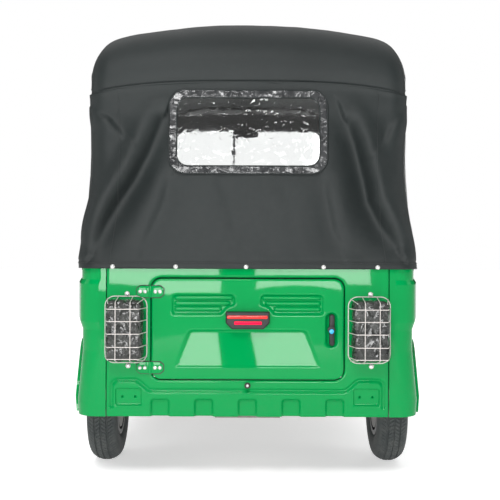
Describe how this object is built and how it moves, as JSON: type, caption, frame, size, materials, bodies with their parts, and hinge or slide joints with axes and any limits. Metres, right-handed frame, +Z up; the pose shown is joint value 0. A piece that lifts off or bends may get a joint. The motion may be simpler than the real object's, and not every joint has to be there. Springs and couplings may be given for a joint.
{
  "type": "auto rickshaw",
  "caption": "Three-wheeled motor rickshaw with a pressed steel tub, soft hood, rear engine door, guarded tail lamps, passenger bench and handlebar steering.",
  "frame": {"origin": "centre of the vehicle's bounding box at ground level", "axes": "+Z up, +Y the way it drives, +X its right side"},
  "size_m": [1.35, 2.73, 1.7037],
  "materials": {
    "body_paint": "gloss",
    "chassis_paint": "satin",
    "floor_paint": "satin",
    "wheel_paint": "satin",
    "lamp_red": "gloss",
    "lamp_body": "gloss",
    "lamp_clear": "gloss",
    "lamp_amber": "gloss",
    "black_plastic": "satin",
    "guard_wire": "satin",
    "hood_vinyl": "satin",
    "clear_film": "gloss",
    "screen_glass": "gloss",
    "seat_vinyl": "satin",
    "engine_metal": "cast",
    "silencer_metal": "dull",
    "shock_steel": "satin",
    "tyre": "matt",
    "grip_rubber": "matt"
  },
  "bodies": {
    "chassis": {"rear_panel": "body_paint", "quarter_panel_left": "body_paint", "quarter_panel_right": "body_paint", "wheel_housings": "chassis_paint", "tail_lamps": "lamp_body", "lamp_guards": "guard_wire", "canopy_rear": "hood_vinyl", "canopy_sides": "hood_vinyl", "canopy_roof": "hood_vinyl", "rear_window": "clear_film", "roof_frame": "chassis_paint", "roof_posts": "chassis_paint", "chassis_frame": "chassis_paint", "floor_pan": "floor_paint", "front_wheel_well": "body_paint", "head_tube": "chassis_paint", "front_cowl": "body_paint", "headlamps": "lamp_clear", "front_indicators": "lamp_amber", "windscreen_frame": "body_paint", "windscreen_glass": "screen_glass", "dashboard": "black_plastic", "inner_mirror": "black_plastic", "bench_base": "floor_paint", "parcel_shelf": "floor_paint", "bench_cushion": "seat_vinyl", "bench_back": "seat_vinyl", "driver_seat_base": "floor_paint", "driver_cushion": "seat_vinyl", "driver_back": "seat_vinyl", "partition_rail": "chassis_paint", "engine": "engine_metal", "silencer": "silencer_metal", "trailing_arms": "chassis_paint", "rear_shocks": "shock_steel"},
    "engine_door": {"engine_door": "body_paint", "brake_lamp": "black_plastic", "door_latch": "black_plastic"},
    "steering": {"front_fork": "chassis_paint", "front_mudguard": "body_paint", "handlebar": "shock_steel", "hand_grips": "grip_rubber"},
    "front_wheel": {"front_tyre": "tyre", "front_rim": "wheel_paint"},
    "rear_wheel_left": {"rear_tyre_left": "tyre", "rear_rim_left": "wheel_paint"},
    "rear_wheel_right": {"rear_tyre_right": "tyre", "rear_rim_right": "wheel_paint"}
  },
  "joints": [
    {"name": "engine_door_hinge", "type": "hinge", "parent": "chassis", "child": "engine_door", "pos_m": [-0.349, -1.2845, 0.56], "axis": [0, 0, -1], "range_deg": [0, 90]},
    {"name": "steering_turn", "type": "hinge", "parent": "chassis", "child": "steering", "pos_m": [0, 0.89086, 0.6], "axis": [0, -0.4067, 0.9135], "range_deg": [-35, 35]},
    {"name": "front_wheel_spin", "type": "hinge", "parent": "steering", "child": "front_wheel", "pos_m": [0, 1.125, 0.212], "axis": [1, 0, 0], "continuous": true},
    {"name": "rear_wheel_left_spin", "type": "hinge", "parent": "chassis", "child": "rear_wheel_left", "pos_m": [-0.562, -0.875, 0.212], "axis": [1, 0, 0], "continuous": true},
    {"name": "rear_wheel_right_spin", "type": "hinge", "parent": "chassis", "child": "rear_wheel_right", "pos_m": [0.562, -0.875, 0.212], "axis": [1, 0, 0], "continuous": true}
  ]
}
